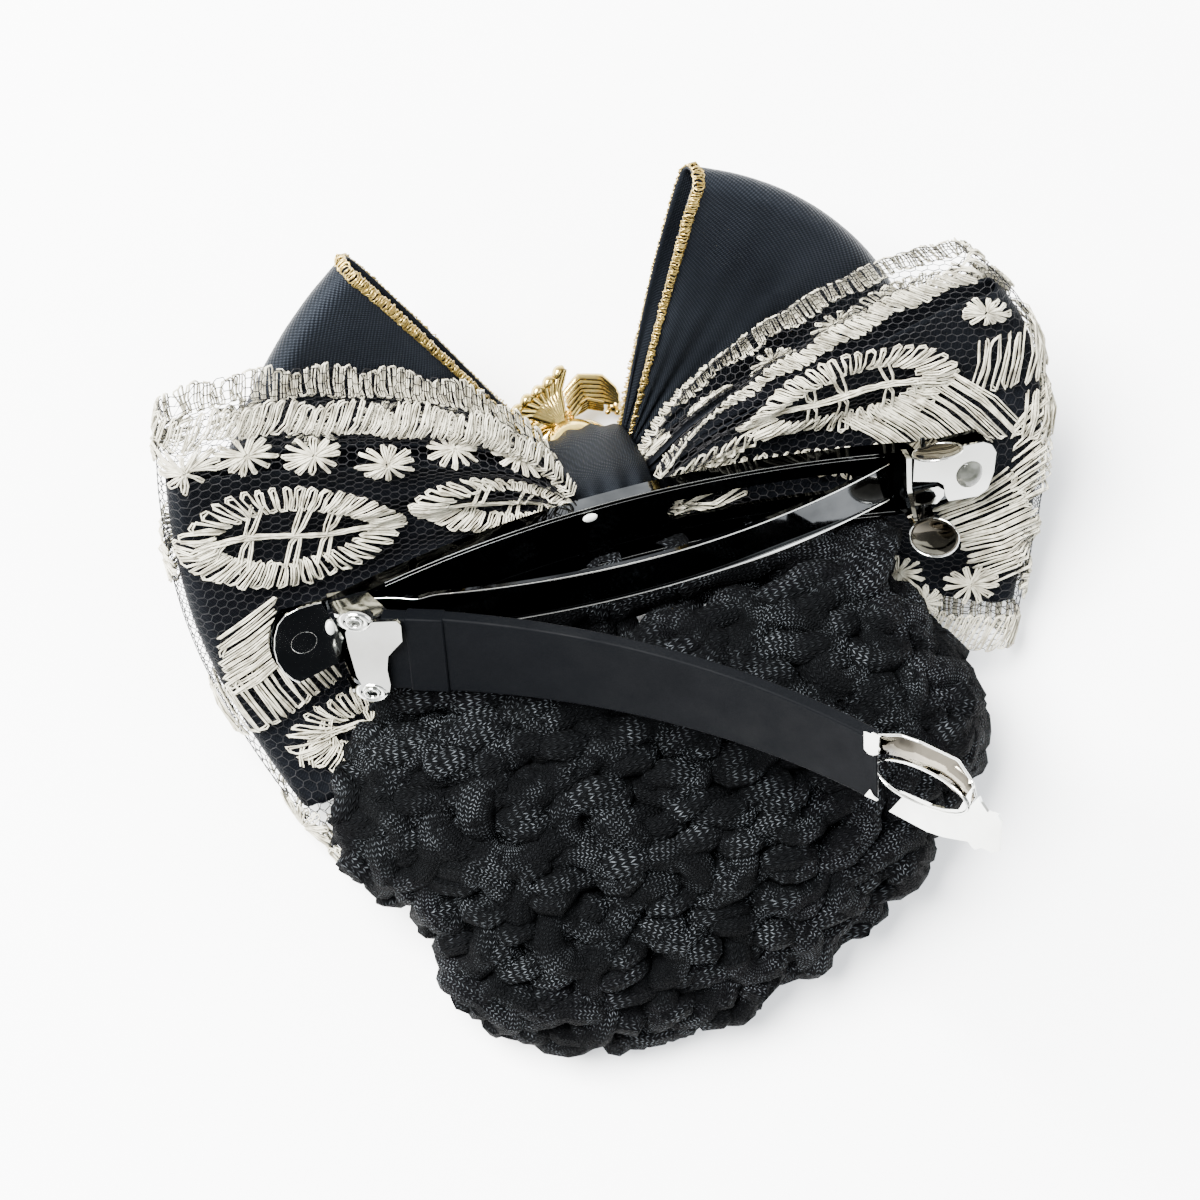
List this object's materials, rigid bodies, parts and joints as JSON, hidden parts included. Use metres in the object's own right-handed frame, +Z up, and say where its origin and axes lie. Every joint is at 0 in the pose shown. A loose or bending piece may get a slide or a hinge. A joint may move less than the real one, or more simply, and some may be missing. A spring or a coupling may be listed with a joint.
{
  "type": "snood hair clip",
  "caption": "Ribbon bow hair clip with lace and satin loops, a sprung metal clasp with a hinged locking arm, and a hollow crocheted snood bag hanging from it, lying on its face.",
  "frame": {"origin": "on the surface that the clip lies on, under the middle of its box", "axes": "+X along the clasp from its hinge to its catch, +Y from the snood towards the top of the bow, +Z up from the surface; the clasp's own plane leans 40 degrees about X"},
  "size_m": [0.0972, 0.0884, 0.0632],
  "materials": {
    "bright_metal": "mirror bright nickel plate with fine scuffs",
    "black_sleeve": "matt black moulded sleeve",
    "black_satin": "black satin ribbon with a soft twill sheen",
    "ivory_lace": "ivory embroidery thread on black hexagonal net",
    "gold_cast": "bright cast gold plate with fine ribs",
    "knitted_cord": "black tubular knitted cord, matt"
  },
  "bodies": {
    "root": {"base_plate": "bright_metal", "tension_bar": "bright_metal", "catch": "bright_metal", "hinge_rivet_upper": "bright_metal", "hinge_rivet_lower": "bright_metal", "knot_band": "black_satin", "ornament": "gold_cast", "satin_loop_left": "black_satin", "satin_loop_right": "black_satin", "lining_loop_left": "black_satin", "lining_loop_right": "black_satin", "lace_loop_left": "ivory_lace", "lace_loop_right": "ivory_lace", "snood_bag": "knitted_cord"},
    "arm": {"arm_bar": "bright_metal", "arm_sleeve": "black_sleeve"}
  },
  "joints": [
    {"name": "arm_hinge", "type": "hinge", "parent": "root", "child": "arm", "pos_m": [-0.03164, 0.00458, 0.02393], "axis": [0, -0.766, -0.6428], "range_deg": [-42.5, 42.5], "deforming": ["tension_bar"]}
  ]
}
